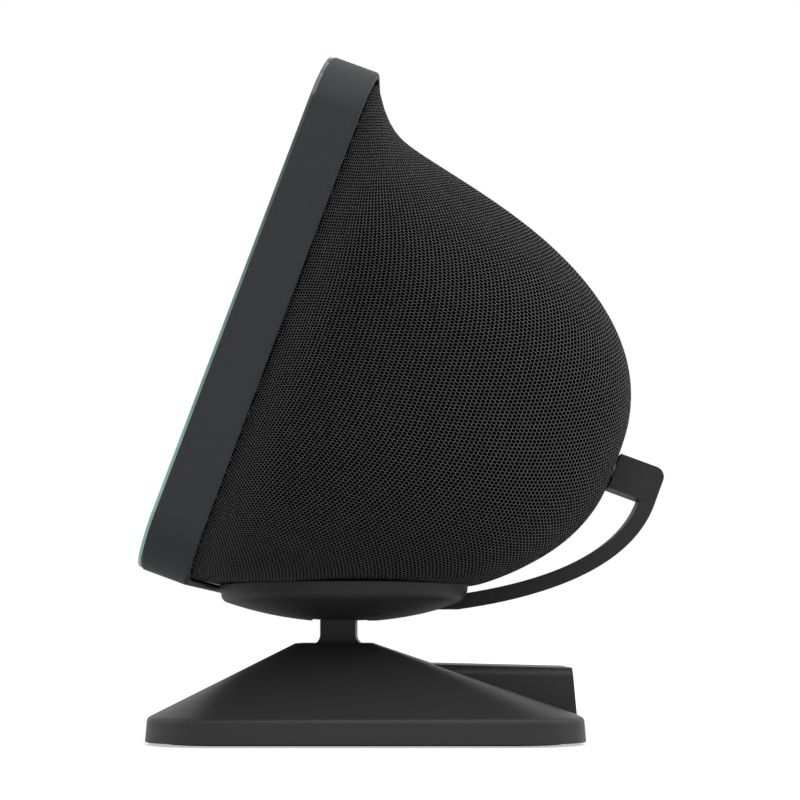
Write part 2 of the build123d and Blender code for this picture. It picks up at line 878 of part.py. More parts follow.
rim_half = cradle_length / 2
arm_exit_y = cradle_y + rim_half - arm_exit_inset
foot_half = rim_half - rim_draft
lug_start = barrel_length / 2 + 2 * washer_gap + washer_thickness
lug_end = lug_start + lug_thickness
hardware_reach = 2 * spring_washer_height + 2 * washer_gap + cap_height + head_room
tongue_under = deck_under - tongue_thickness
arm_under = deck_under - arm_deck_gap - arm_thickness
tongue_end = arm_exit_y - tongue_length
tongue_middle = tongue_end + (tongue_length - tongue_step) / 2
deck_screw_places = [
    (x, cradle_y + y)
    for x in (-deck_post_spread_x / 2, deck_post_spread_x / 2)
    for y in (-deck_post_spread_y / 2, deck_post_spread_y / 2)
]
arm_screw_places = [(x, tongue_middle) for x in (-arm_screw_spread / 2, arm_screw_spread / 2)]

# Room in the tray, less the hinge lugs and the screw posts that stand in it
with BuildPart() as tray_room:
    add(
        bowl(
            tray_low + tray_wall,
            foot_half - tray_wall,
            rim_half - tray_wall,
            rim_top + tray_wall,
        )
    )
    for side in (-1, 1):
        with BuildSketch(Plane.YZ.offset(side * lug_start)):
            with Locations((pivot_y, pivot_z)):
                Circle(lug_radius)
            with Locations((pivot_y, pivot_z - rim_rise)):
                Rectangle(2 * lug_radius, 2 * rim_rise)
        extrude(amount=side * lug_thickness, mode=Mode.SUBTRACT)
    with BuildSketch(Plane.XY.offset(tray_low)):
        with Locations(*deck_screw_places):
            Circle(deck_post_radius)
    extrude(amount=deck_under - tray_low, mode=Mode.SUBTRACT)
    with BuildSketch(Plane.XY.offset(tray_low)):
        with Locations(*arm_screw_places):
            Circle(deck_post_radius)
    extrude(amount=tongue_under - tray_low, mode=Mode.SUBTRACT)

with BuildPart() as cradle_tray:
    add(bowl(tray_low, foot_half, rim_half, rim_top))
    add(tray_room.part, mode=Mode.SUBTRACT)
    with BuildSketch(Plane.XY.offset(tray_low - tray_wall)):
        with Locations((0, pivot_y)):
            Rectangle(2 * lug_start, 2 * slot_half_width)
    extrude(amount=pivot_z - tray_low + tray_wall, mode=Mode.SUBTRACT)
    with BuildSketch(Plane.YZ.offset(-arm_width / 2 - notch_gap)):
        with BuildLine():
            Polyline(
                (arm_exit_y - tongue_step - notch_gap, arm_under - rim_rise),
                (arm_exit_y - tongue_step - notch_gap, deck_under),
                (cradle_y + cradle_length, deck_under),
                (cradle_y + cradle_length, arm_under - rim_rise),
                close=True,
            )
        make_face()
    extrude(amount=arm_width + 2 * notch_gap, mode=Mode.SUBTRACT)
    with BuildSketch(Plane.YZ.offset(-lug_end)):
        with Locations((pivot_y, pivot_z)):
            Circle(pin_radius + press_clearance)
    extrude(amount=2 * lug_end, mode=Mode.SUBTRACT)
    for side in (-1, 1):
        with BuildSketch(Plane.YZ.offset(side * lug_end)):
            with Locations((pivot_y, pivot_z)):
                Circle(pin_head_radius + head_room)
        extrude(amount=side * hardware_reach, mode=Mode.SUBTRACT)
    with BuildSketch(Plane.XY.offset(deck_under)):
        with Locations(*deck_screw_places):
            Circle(pilot_radius)
    extrude(amount=-deck_screw_bite, mode=Mode.SUBTRACT)
    with BuildSketch(Plane.XY.offset(tongue_under)):
        with Locations(*arm_screw_places):
            Circle(pilot_radius)
    extrude(amount=-arm_screw_bite, mode=Mode.SUBTRACT)
pieces["cradle_tray"] = cradle_tray

# Deck that closes the tray, and the grip pad on it
deck_half = rim_half - rim_draft - tray_wall - deck_gap
with BuildPart() as cradle_deck:
    with BuildSketch(Plane.XY.offset(deck_under)):
        with Locations((0, cradle_y)):
            Ellipse(deck_half * oval_stretch - deck_gap, deck_half)
        with Locations(*deck_screw_places):
            Circle(pilot_radius, mode=Mode.SUBTRACT)
    extrude(amount=deck_thickness)
pieces["cradle_deck"] = cradle_deck

with BuildPart() as cradle_pad:
    with BuildSketch(Plane.XY.offset(deck_top)):
        with Locations((0, pivot_y)):
            Ellipse(pad_width / 2, pad_length / 2)
        with Locations(*deck_screw_places):
            Circle(screw_head_radius + port_gap, mode=Mode.SUBTRACT)
    extrude(amount=pad_thickness)
pieces["cradle_pad"] = cradle_pad

with BuildPart() as deck_screws:
    with BuildSketch(Plane.XY.offset(deck_top)):
        with Locations(*deck_screw_places):
            Circle(screw_head_radius)
    extrude(amount=pad_thickness)
    with BuildSketch(Plane.XY.offset(deck_top)):
        with Locations(*deck_screw_places):
            Circle(screw_radius)
    extrude(amount=-deck_thickness - deck_screw_bite)
pieces["deck_screws"] = deck_screws

# Hinge: a steel pin in the lugs, turning in bushes in the neck's barrel, held tight by washers
pin_start = -lug_end - pin_head_height
washers_end = lug_end + 2 * spring_washer_height + 2 * washer_gap
with BuildPart() as hinge_pin:
    with BuildSketch(Plane.YZ.offset(pin_start)):
        with Locations((pivot_y, pivot_z)):
            Circle(pin_head_radius)
    extrude(amount=pin_head_height)
    with BuildSketch(Plane.YZ.offset(pin_start)):
        with Locations((pivot_y, pivot_z)):
            Circle(pin_radius)
    extrude(amount=washers_end + cap_height - pin_start)
    chamfer(hinge_pin.faces().sort_by(Axis.X)[-1].edges(), pin_chamfer)
pieces["hinge_pin"] = hinge_pin

with BuildPart() as friction_washers:
    for side in (-1, 1):
        with BuildSketch(Plane.YZ.offset(side * (barrel_length / 2 + washer_gap))):
            with Locations((pivot_y, pivot_z)):
                Circle(lug_radius)
                Circle(pin_radius + pin_fit, mode=Mode.SUBTRACT)
        extrude(amount=side * washer_thickness)
pieces["friction_washers"] = friction_washers

with BuildPart() as spring_washers:
    for place in (lug_end + washer_gap, lug_end + washer_gap + spring_washer_height):
        with BuildSketch(Plane.YZ.offset(place)):
            with Locations((pivot_y, pivot_z)):
                Circle(pin_head_radius)
                Circle(pin_radius + pin_fit, mode=Mode.SUBTRACT)
        extrude(amount=spring_washer_height - washer_gap)
pieces["spring_washers"] = spring_washers

with BuildPart() as hinge_cap:
    with BuildSketch(Plane.YZ.offset(washers_end)):
        with Locations((pivot_y, pivot_z)):
            Circle(pin_head_radius)
            Circle(pin_radius + press_clearance, mode=Mode.SUBTRACT)
    extrude(amount=cap_height)
pieces["hinge_cap"] = hinge_cap

# Power arm: one flat curved moulding from the tray up to the plug behind the speaker
plug_front = body_depth + plug_gap
plug_rear = plug_front + plug_length
plug_under = jack_height - plug_height / 2
plug_top = jack_height + plug_height / 2
pitch = radians(arm_pitch)
along = Vector(0, cos(pitch), sin(pitch))
inner_lower_sweep = arm_lower_sweep - arm_thickness
inner_upper_sweep = arm_upper_sweep - arm_thickness / 2
outer_start = Vector(0, arm_exit_y, arm_under)
outer_end = head_point(0, plug_under, plug_rear)
inner_start = Vector(0, arm_exit_y, arm_under + arm_thickness)
inner_end = head_point(0, plug_under, plug_rear - arm_thickness)


def side_of(point):
    """A point's place in the side view."""
    return (point.Y, point.Z)


with BuildPart() as power_arm:
    with BuildSketch(Plane.YZ.offset(-arm_width / 2)):
        with BuildLine():
            Bezier(
                side_of(outer_start),
                side_of(outer_start + along * arm_lower_sweep),
                side_of(outer_end - up * arm_upper_sweep),
                side_of(outer_end),
            )
            Polyline(
                side_of(outer_end),
                side_point(plug_top - plug_corner, plug_rear),
            )
            TangentArc(
                side_point(plug_top - plug_corner, plug_rear),
                side_point(plug_top, plug_rear - plug_corner),
                tangent=(up.Y, up.Z),
            )
            Polyline(
                side_point(plug_top, plug_rear - plug_corner),
                side_point(plug_top, plug_front),
                side_point(plug_under, plug_front),
                side_of(inner_end),
            )
            Bezier(
                side_of(inner_end),
                side_of(inner_end - up * inner_upper_sweep),
                side_of(inner_start + along * inner_lower_sweep),
                side_of(inner_start),
            )
            Polyline(
                side_of(inner_start),
                (arm_exit_y - tongue_step, arm_under + arm_thickness),
                (arm_exit_y - tongue_step, deck_under),
                (tongue_end, deck_under),
                (tongue_end, tongue_under),
                (arm_exit_y - tongue_step, tongue_under),
                (arm_exit_y - tongue_step, arm_under),
                side_of(outer_start),
            )
        make_face()
    extrude(amount=arm_width)
    with BuildSketch(Plane.XY.offset(deck_under)):
        with Locations(*arm_screw_places):
            Circle(pilot_radius)
    extrude(amount=-tongue_thickness, mode=Mode.SUBTRACT)
    with BuildSketch(Plane.XY.offset(deck_under)):
        with Locations(*arm_screw_places):
            Circle(screw_head_radius + port_gap)
    extrude(amount=-screw_head_height, mode=Mode.SUBTRACT)
pieces["power_arm"] = power_arm

with BuildPart() as arm_screws:
    with BuildSketch(Plane.XY.offset(deck_under - screw_head_height)):
        with Locations(*arm_screw_places):
            Circle(screw_head_radius)
    extrude(amount=screw_head_height - washer_gap)
    with BuildSketch(Plane.XY.offset(deck_under - screw_head_height)):
        with Locations(*arm_screw_places):
            Circle(screw_radius)
    extrude(amount=screw_head_height - tongue_thickness - arm_screw_bite)
pieces["arm_screws"] = arm_screws

# Metal sleeve of the plug, reaching into the speaker's socket
with BuildPart() as plug_sleeve:
    with BuildSketch(behind_glass(plug_front)):
        with Locations((0, jack_height)):
            Circle(plug_radius)
            Circle(plug_radius - plug_wall, mode=Mode.SUBTRACT)
    extrude(amount=plug_reach)
pieces["plug_sleeve"] = plug_sleeve


# Stand: a pyramid with a low rim and a raised spine along its back
def base_form(inset, bottom):
    """Solid of the base drawn in by an even inset, from a bottom level up to its plateau."""
    rim_inset = inset + (rim_height - base_lift) * sin(radians(rim_slope))
    with BuildPart() as form:
        with BuildSketch(Plane.XY.offset(bottom)):
            RectangleRounded(base_width - 2 * inset, base_length - 2 * inset, base_corner - inset)
        with BuildSketch(Plane.XY.offset(rim_height)):
            RectangleRounded(
                base_width - 2 * rim_inset, base_length - 2 * rim_inset, base_corner - rim_inset
            )
        loft(ruled=True)
        with BuildSketch(Plane.XY.offset(rim_height)):
            RectangleRounded(
                base_width - 2 * rim_inset, base_length - 2 * rim_inset, base_corner - rim_inset
            )
        with BuildSketch(Plane.XY.offset(plateau_height - inset)):
            with Locations((0, plateau_y)):
                RectangleRounded(
                    plateau_width - inset, plateau_length - inset, plateau_corner - inset / 2
                )
        loft(ruled=True)
        if inset == 0:
            fillet(form.faces().sort_by(Axis.Z)[-1].edges(), plateau_edge)
            fillet(form.edges().filter_by_position(Axis.Z, rim_height, rim_height), rim_edge)
    return form.part


def spine_form(inset, bottom):
    """Solid of the raised spine, drafted on both sides and at the back."""
    rear = base_length / 2 - inset
    with BuildPart() as form:
        with BuildSketch(Plane.YZ):
            with BuildLine():
                Polyline(
                    (spine_front, bottom),
                    (spine_front, spine_top_front - inset),
                    (spine_bend, spine_top_front - inset),
                    (rear - spine_lean, spine_top_rear - inset),
                    (rear, bottom),
                    close=True,
                )
            make_face()
        extrude(amount=spine_width / 2 - inset, both=True)
        if inset == 0:
            fillet(form.edges().filter_by(GeomType.LINE).group_by(Axis.Z)[-1], spine_edge)
    return form.part


base_screw_places = [
    (x, y)
    for x in (base_post_margin_x - base_width / 2, base_width / 2 - base_post_margin_x)
    for y in (base_post_margin_y - base_length / 2, base_length / 2 - base_post_margin_y)
]
plate_under = pad_sheet
plate_top = plate_under + plate_thickness
neck_screw_places = [(x, pivot_y) for x in (-neck_screw_spread / 2, neck_screw_spread / 2)]
board_under = plate_top + board_rise
board_top = board_under + circuit_thickness
inlet_z = board_top + inlet_height / 2
usb_z = board_top + usb_height / 2
rear_slope = spine_lean / (spine_top_rear - base_lift)


def rear_face_at(level):
    """Where the spine's leaning rear face stands at a level."""
    return base_length / 2 - rear_slope * (level - base_lift)


with BuildPart() as base_room:
    add(base_form(base_wall, base_lift))
    add(spine_form(base_wall, base_lift))
    with BuildSketch(Plane.XY.offset(plate_top)):
        with Locations(*base_screw_places):
            Circle(base_post_radius)
    extrude(amount=plateau_height, mode=Mode.SUBTRACT)

with BuildPart() as base_shell:
    add(base_form(0, base_lift))
    add(spine_form(0, base_lift))
    add(base_room.part, mode=Mode.SUBTRACT)
    with BuildSketch(Plane.XY.offset(plateau_height)):
        with Locations((0, pivot_y)):
            Rectangle(spigot_width + 2 * spigot_gap, spigot_length + 2 * spigot_gap)
    extrude(amount=-base_wall, mode=Mode.SUBTRACT)
    with BuildSketch(Plane.XY.offset(plate_top)):
        with Locations(*base_screw_places):
            Circle(pilot_radius)
    extrude(amount=screw_length - plate_thickness + screw_head_height, mode=Mode.SUBTRACT)
    with BuildSketch(Plane.XZ.offset(-base_length / 2)):
        with Locations((inlet_x, inlet_z)):
            Circle(inlet_radius + port_gap)
        with Locations((usb_x, usb_z)):
            SlotOverall(usb_width + 2 * port_gap, usb_height + 2 * port_gap)
    extrude(amount=2 * base_wall + spine_lean, mode=Mode.SUBTRACT)
pieces["base_shell"] = base_shell

# Bottom plate with posts for the power board, the weight on it and the rubber sheet under it
board_y = rear_face_at(inlet_z) - base_wall - port_gap - board_length / 2
board_post_places = [
    (x, board_y + y)
    for x in (2 * board_post_radius - board_width / 2, board_width / 2 - 2 * board_post_radius)
    for y in (2 * board_post_radius - board_length / 2, board_length / 2 - 2 * board_post_radius)
]
with BuildPart() as base_plate:
    with BuildSketch(Plane.XY.offset(plate_under)):
        RectangleRounded(
            base_width - 2 * (base_wall + plate_gap),
            base_length - 2 * (base_wall + plate_gap),
            base_corner - base_wall - plate_gap,
        )
        with Locations(*base_screw_places):
            Circle(pilot_radius, mode=Mode.SUBTRACT)
    extrude(amount=plate_thickness)
    with BuildSketch(Plane.XY.offset(plate_under)):
        with Locations(*base_screw_places):
            Circle(screw_head_radius + port_gap)
    extrude(amount=screw_head_height, mode=Mode.SUBTRACT)
    with BuildSketch(Plane.XY.offset(plate_top)):
        with Locations(*board_post_places):
            Circle(board_post_radius)
    extrude(amount=board_rise)
pieces["base_plate"] = base_plate

with BuildPart() as ballast_plate:
    with BuildSketch(Plane.XY.offset(plate_top)):
        with Locations((0, ballast_y)):
            RectangleRounded(
                base_width - 2 * ballast_margin_x, base_length - 2 * ballast_margin_y, plateau_corner
            )
    extrude(amount=ballast_height)
    with BuildSketch(Plane.XY.offset(plate_top)):
        with Locations(*base_screw_places):
            Circle(base_post_radius + plate_gap)
    extrude(amount=ballast_height, mode=Mode.SUBTRACT)
pieces["ballast_plate"] = ballast_plate

with BuildPart() as base_foot:
    with BuildSketch(Plane.XY):
        RectangleRounded(
            base_width - 2 * pad_margin, base_length - 2 * pad_margin, base_corner - pad_margin
        )
    extrude(amount=pad_sheet)
pieces["base_foot"] = base_foot

with BuildPart() as base_screws:
    with BuildSketch(Plane.XY.offset(plate_under)):
        with Locations(*base_screw_places):
            Circle(screw_head_radius)
    extrude(amount=screw_head_height)
    with BuildSketch(Plane.XY.offset(plate_under)):
        with Locations(*base_screw_places):
            Circle(screw_radius)
    extrude(amount=screw_length + screw_head_height)
pieces["base_screws"] = base_screws

# Neck with the hinge barrel, clamped through the plateau
with BuildPart() as neck:
    with BuildSketch(Plane.YZ.offset(-barrel_length / 2)):
        with Locations((pivot_y, pivot_z)):
            Circle(barrel_radius)
        with BuildLine():
            stem = Polyline(
                (pivot_y + neck_width / 2, plateau_height + neck_flare),
                (pivot_y + neck_width / 2, pivot_z - neck_shoulder),
                (pivot_y + barrel_radius, pivot_z),
                (pivot_y - barrel_radius, pivot_z),
                (pivot_y - neck_width / 2, pivot_z - neck_shoulder),
                (pivot_y - neck_width / 2, plateau_height + neck_flare),
            )
            front_foot = TangentArc(
                stem @ 1, (pivot_y - neck_width / 2 - neck_flare_run, plateau_height), tangent=(0, -1)
            )
            rear_foot = TangentArc(
                stem @ 0, (pivot_y + neck_width / 2 + neck_flare_run, plateau_height), tangent=(0, -1)
            )
            Line(front_foot @ 1, rear_foot @ 1)
        make_face()
    extrude(amount=barrel_length)
    with BuildSketch(Plane.XY.offset(plateau_height)):
        with Locations((0, pivot_y)):
            Rectangle(spigot_width, spigot_length)
    extrude(amount=-base_wall)
    with BuildSketch(Plane.YZ.offset(-barrel_length / 2)):
        with Locations((pivot_y, pivot_z)):
            Circle(pin_radius + pin_fit + bush_wall + press_clearance)
    extrude(amount=barrel_length, mode=Mode.SUBTRACT)
    with BuildSketch(Plane.XY.offset(plateau_height - base_wall)):
        with Locations((0, pivot_y)):
            Circle(lead_bore)
        with Locations(*neck_screw_places):
            Circle(pilot_radius)
    extrude(amount=screw_length, mode=Mode.SUBTRACT)
    with BuildSketch(Plane.XY.offset(plateau_height)):
        with Locations((0, pivot_y)):
            Circle(lead_bore)
    extrude(amount=pivot_z - plateau_height, mode=Mode.SUBTRACT)
pieces["neck"] = neck

clamp_under = plateau_height - base_wall - clamp_thickness
with BuildPart() as neck_clamp:
    with BuildSketch(Plane.XY.offset(clamp_under)):
        with Locations((0, pivot_y)):
            Rectangle(spigot_width + clamp_margin, spigot_length + clamp_margin)
            Circle(lead_bore, mode=Mode.SUBTRACT)
        with Locations(*neck_screw_places):
            Circle(pilot_radius, mode=Mode.SUBTRACT)
    extrude(amount=clamp_thickness)
pieces["neck_clamp"] = neck_clamp

with BuildPart() as neck_screws:
    with BuildSketch(Plane.XY.offset(clamp_under)):
        with Locations(*neck_screw_places):
            Circle(screw_head_radius)
    extrude(amount=-screw_head_height)
    with BuildSketch(Plane.XY.offset(clamp_under)):
        with Locations(*neck_screw_places):
            Circle(screw_radius)
    extrude(amount=screw_length)
pieces["neck_screws"] = neck_screws

with BuildPart() as hinge_bushes:
    for side in (-1, 1):
        with BuildSketch(Plane.YZ.offset(side * barrel_length / 2)):
            with Locations((pivot_y, pivot_z)):
                Circle(pin_radius + pin_fit + bush_wall)
                Circle(pin_radius + pin_fit, mode=Mode.SUBTRACT)
        extrude(amount=-side * bush_length)
pieces["hinge_bushes"] = hinge_bushes

# Power board of the stand with its two sockets
with BuildPart() as stand_board:
    with BuildSketch(Plane.XY.offset(board_under)):
        with Locations((0, board_y)):
            Rectangle(board_width, board_length)
    extrude(amount=circuit_thickness)
pieces["stand_board"] = stand_board

inlet_face = rear_face_at(inlet_z) - port_setback
inlet_back = rear_face_at(board_top + inlet_height) - base_wall - 2 * port_gap
with BuildPart() as power_inlet:
    with BuildSketch(Plane.XZ.offset(-inlet_back)):
        with Locations((inlet_x, inlet_z)):
            Rectangle(inlet_width, inlet_height)
    extrude(amount=inlet_depth)
    with BuildSketch(Plane.XZ.offset(-inlet_back)):
        with Locations((inlet_x, inlet_z)):
            Circle(inlet_radius)
    extrude(amount=inlet_back - inlet_face)
    with BuildSketch(Plane.XZ.offset(-inlet_face)):
        with Locations((inlet_x, inlet_z)):
            Circle(inlet_bore)
            Circle(inlet_pin, mode=Mode.SUBTRACT)
    extrude(amount=plug_reach, mode=Mode.SUBTRACT)
pieces["power_inlet"] = power_inlet

usb_face = rear_face_at(usb_z) - port_setback
with BuildPart() as usb_port:
    with BuildSketch(Plane.XZ.offset(-usb_face)):
        with Locations((usb_x, usb_z)):
            SlotOverall(usb_width, usb_height)
    extrude(amount=usb_length)
    with BuildSketch(Plane.XZ.offset(-usb_face)):
        with Locations((usb_x, usb_z)):
            SlotOverall(usb_width - 2 * usb_wall, usb_height - 2 * usb_wall)
            Rectangle(usb_width - usb_height, 2 * usb_wall, mode=Mode.SUBTRACT)
    extrude(amount=usb_length - 2 * usb_wall, mode=Mode.SUBTRACT)
pieces["usb_port"] = usb_port

for name, piece in pieces.items():
    piece.part.label = name
    export_step(piece.part, f"parts/{name}.step")
print(len(pieces), "pieces written")
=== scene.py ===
# %% [markdown]
# # A screen speaker on a tilting stand
#
# The solids come in as a fixed frame: a glass-fronted slab, a fabric dome behind it, an oval cradle,
# a neck on a pyramid base, and a curved arm that brings power to the back. This lesson gives them
# their finishes, and makes the one piece that solids do badly, the knitted cover.

# %% Load the frame
import json
import math

import bpy
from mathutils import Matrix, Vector
from mathutils.bvhtree import BVHTree


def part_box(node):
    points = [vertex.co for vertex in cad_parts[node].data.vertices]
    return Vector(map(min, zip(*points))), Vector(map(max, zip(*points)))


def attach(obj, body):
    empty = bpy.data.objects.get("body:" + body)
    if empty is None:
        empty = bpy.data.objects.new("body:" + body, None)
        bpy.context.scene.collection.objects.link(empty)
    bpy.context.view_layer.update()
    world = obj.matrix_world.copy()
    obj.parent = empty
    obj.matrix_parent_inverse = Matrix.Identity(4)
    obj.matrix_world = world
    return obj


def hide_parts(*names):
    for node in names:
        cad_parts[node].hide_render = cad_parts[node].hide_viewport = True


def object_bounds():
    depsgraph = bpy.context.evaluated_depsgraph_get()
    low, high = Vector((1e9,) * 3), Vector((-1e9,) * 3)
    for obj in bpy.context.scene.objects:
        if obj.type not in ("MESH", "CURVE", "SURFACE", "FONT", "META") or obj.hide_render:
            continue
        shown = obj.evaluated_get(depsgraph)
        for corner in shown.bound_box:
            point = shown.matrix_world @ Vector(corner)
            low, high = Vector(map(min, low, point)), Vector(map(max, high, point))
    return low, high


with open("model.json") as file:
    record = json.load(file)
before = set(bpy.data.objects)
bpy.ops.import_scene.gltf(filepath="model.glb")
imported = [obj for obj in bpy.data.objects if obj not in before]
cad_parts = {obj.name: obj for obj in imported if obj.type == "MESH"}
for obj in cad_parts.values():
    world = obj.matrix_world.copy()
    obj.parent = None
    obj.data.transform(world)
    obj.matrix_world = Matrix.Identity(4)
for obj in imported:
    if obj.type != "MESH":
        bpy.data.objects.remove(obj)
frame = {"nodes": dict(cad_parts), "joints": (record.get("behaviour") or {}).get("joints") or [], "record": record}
cad_low, cad_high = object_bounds()
bpy.ops.object.select_all(action="DESELECT")
MM = 0.001
print("CAD box in mm:", [round(side / MM, 1) for side in cad_high - cad_low])

# %% [markdown]
# ## The head's own directions
#
# The head leans back, so its "up" isn't the world's. A button is pressed straight down the head,
# which gives that direction without typing any angle. From it follow the way back from the glass and
# the lean. The glass and the cover are later described by depth behind the middle of the glass and by
# height above it.

# %% Directions of the head
press = next(joint for joint in frame["joints"] if joint["name"] == "volume_up_button_press")
UP = -Vector(press["axis"]).normalized()
BACK = Vector((0, UP.z, -UP.y))
ACROSS = Vector((1, 0, 0))
LEAN = math.asin(UP.y)
glass_low, glass_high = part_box("front_glass")
GLASS_MIDDLE = (glass_low + glass_high) / 2


def reach(node, direction):
    """How far a node goes along a direction from the middle of the glass."""
    return max((v.co - GLASS_MIDDLE).dot(direction) for v in frame["nodes"][node].data.vertices)


def head_point(across, height, depth):
    """A point of the head, in metres from the middle of the glass."""
    return GLASS_MIDDLE + ACROSS * across + UP * height + BACK * depth


print("the head leans back by", round(math.degrees(LEAN), 1), "degrees")

# %% [markdown]
# ## Camera
#
# The product is seen square from its side, with a long lens at the height of the neck. The lens is
# shifted and tipped up a little together: a shift alone keeps uprights parallel but moves the object
# off centre in every other view, and tipping alone would make the uprights lean.

# %% Camera
LENS = 97.33
SENSOR_WIDTH = 36.0
LENS_SHIFT = 0.08
CAMERA_PLACE = Vector((0.6285, 0.0092, 0.0292))
CAMERA_RISE = math.radians(4.5)
camera_data = bpy.data.cameras.new("side_camera")
camera_data.lens = LENS
camera_data.sensor_width = SENSOR_WIDTH
camera_data.shift_y = LENS_SHIFT
camera = bpy.data.objects.new("side_camera", camera_data)
bpy.context.scene.collection.objects.link(camera)
camera.location = CAMERA_PLACE
camera.rotation_euler = (math.radians(90) + CAMERA_RISE, 0, math.radians(90))
bpy.context.scene.camera = camera
print("camera", round(CAMERA_PLACE.length, 2), "m away, lens", LENS, "mm")

# %% [markdown]
# ## One function for every shader node
#
# A material is a small graph. Adding a node always means the same three things: choose its kind, set
# its options, and fill its sockets with values or links. One function does that, and a second turns
# the hex colours that a designer writes into the linear values that the shader wants.

# %% Helpers for materials


def linear(hex_colour, alpha=1.0):
    """Linear colour from an sRGB hex string."""
    channels = [int(hex_colour[i : i + 2], 16) / 255 for i in (1, 3, 5)]
    return [c / 12.92 if c <= 0.04045 else ((c + 0.055) / 1.055) ** 2.4 for c in channels] + [alpha]


def add(tree, kind, inputs=None, **settings):
    """Adds a node with its settings; inputs are values or other nodes' sockets."""
    node = tree.nodes.new(kind)
    for name, value in settings.items():
        setattr(node, name, value)
    for socket, value in (inputs or {}).items():
        if isinstance(value, bpy.types.NodeSocket):
            tree.links.new(value, node.inputs[socket])
        else:
            node.inputs[socket].default_value = value
    return node


def new_material(name):
    """An empty material: its node tree and its output node."""
    material = bpy.data.materials.new(name)
    material.use_nodes = True
    material.node_tree.nodes.clear()
    return material, material.node_tree, add(material.node_tree, "ShaderNodeOutputMaterial")


def per_metre(size_mm):
    """Scale of a pattern on Object coordinates whose features are a size in mm."""
    return 1 / (size_mm * MM)


# %% [markdown]
# ## Studio: the world
#
# The product stands on a white sweep. The world gives soft grey light from all round, but shows as
# white to the camera, through glass and in reflections, so dark plastic keeps its pale edges.

# %% World
WORLD_LIGHT = 0.3
world = bpy.data.worlds.new("studio")
world.use_nodes = True
world.node_tree.nodes.clear()
sky = world.node_tree
path = add(sky, "ShaderNodeLightPath")
seen = add(sky, "ShaderNodeMath",
           {0: path.outputs["Is Camera Ray"], 1: path.outputs["Is Transmission Ray"]},
           operation="MAXIMUM")
seen = add(sky, "ShaderNodeMath",
           {0: seen.outputs[0], 1: path.outputs["Is Glossy Ray"]}, operation="MAXIMUM")
soft = add(sky, "ShaderNodeBackground", {"Color": linear("#ffffff"), "Strength": WORLD_LIGHT})
white = add(sky, "ShaderNodeBackground", {"Color": linear("#ffffff"), "Strength": 1.0})
either = add(sky, "ShaderNodeMixShader",
             {0: seen.outputs[0], 1: soft.outputs[0], 2: white.outputs[0]})
add(sky, "ShaderNodeOutputWorld", {"Surface": either.outputs[0]})
bpy.context.scene.world = world
bpy.context.scene.view_settings.view_transform = "Standard"
print("world light", WORLD_LIGHT)

# %% [markdown]
# ## Studio: the floor
#
# The floor is white card and keeps a soft shadow. A light of its own, for the camera only, lifts it to
# the white of the background. That light grows with distance from the product, so no horizon shows.
# The card lies a hair below the rubber foot, because two faces in one plane flicker.

# %% Floor
FLOOR_SIZE = 12.0
FLOOR_NEAR = 0.3
FLOOR_FAR = 2.5
FLOOR_GAP = 0.2 * MM
GLOW_NEAR = 0.5
GLOW_FAR = 1.0
bpy.ops.mesh.primitive_plane_add(size=FLOOR_SIZE, location=(0, 0, -FLOOR_GAP))
floor = bpy.context.object
floor.name = "studio_floor"
material, tree, output = new_material("matt_white_card")
path = add(tree, "ShaderNodeLightPath")
place = add(tree, "ShaderNodeTexCoord").outputs["Object"]
away = add(tree, "ShaderNodeVectorMath", {0: place}, operation="LENGTH")
glow = add(tree, "ShaderNodeMapRange",
           {"Value": away.outputs["Value"], "From Min": FLOOR_NEAR, "From Max": FLOOR_FAR,
            "To Min": GLOW_NEAR, "To Max": GLOW_FAR})
card = add(tree, "ShaderNodeBsdfDiffuse", {"Color": linear("#e8e8e8")})
lift = add(tree, "ShaderNodeEmission", {"Color": linear("#ffffff"), "Strength": glow.outputs[0]})
lit = add(tree, "ShaderNodeAddShader", {0: card.outputs[0], 1: lift.outputs[0]})
shown = add(tree, "ShaderNodeMixShader",
            {0: path.outputs["Is Camera Ray"], 1: card.outputs[0], 2: lit.outputs[0]})
tree.links.new(shown.outputs[0], output.inputs["Surface"])
floor.data.materials.append(material)
print("floor", FLOOR_SIZE, "m")

# %% [markdown]
# ## Studio: the lamps
#
# Softboxes are large, so their shadows are soft. The strongest stands high on the camera's side and
# shows the frame and the knit; weaker ones before, behind and above the product draw its outline.

# %% Lamps


def softbox(name, place, aim, width, power):
    """A square lamp that faces a point."""
    data = bpy.data.lights.new(name, "AREA")
    data.size = width
    data.energy = power
    lamp = bpy.data.objects.new(name, data)
    bpy.context.scene.collection.objects.link(lamp)
    lamp.location = place
    lamp.rotation_euler = (Vector(aim) - Vector(place)).to_track_quat("-Z", "Y").to_euler()
    return lamp


CENTRE = (cad_low + cad_high) / 2
softbox("overhead_softbox", (0.1, 0.1, 1.6), CENTRE, 1.2, 7)
softbox("high_side_softbox", (1.2, 0.1, 1.4), CENTRE, 1.4, 15.5)
softbox("front_softbox", (0.1, -1.5, 0.8), CENTRE, 1.2, 7)
softbox("rear_softbox", (0.1, 1.5, 0.9), CENTRE, 1.2, 9)
print("four softboxes")

# %% [markdown]
# ## Moulded plastic
#
# Frame, cradle, arm and stand are moulded ABS from a spark-eroded tool: dark grey, matt, with a very
# fine even grain that breaks up the highlight. A flat colour would look like paint, so a fine noise
# gives the grain as bump, and a broad, faint one varies the gloss as handling does. The real grain is
# about a tenth of a millimetre; it is drawn coarser so that it shows.

# %% Moulded plastic
HANDLING_MM = 35
GLOSS_SPREAD = 0.05
SPECK = 0.12
GRAIN_BUMP = 0.18


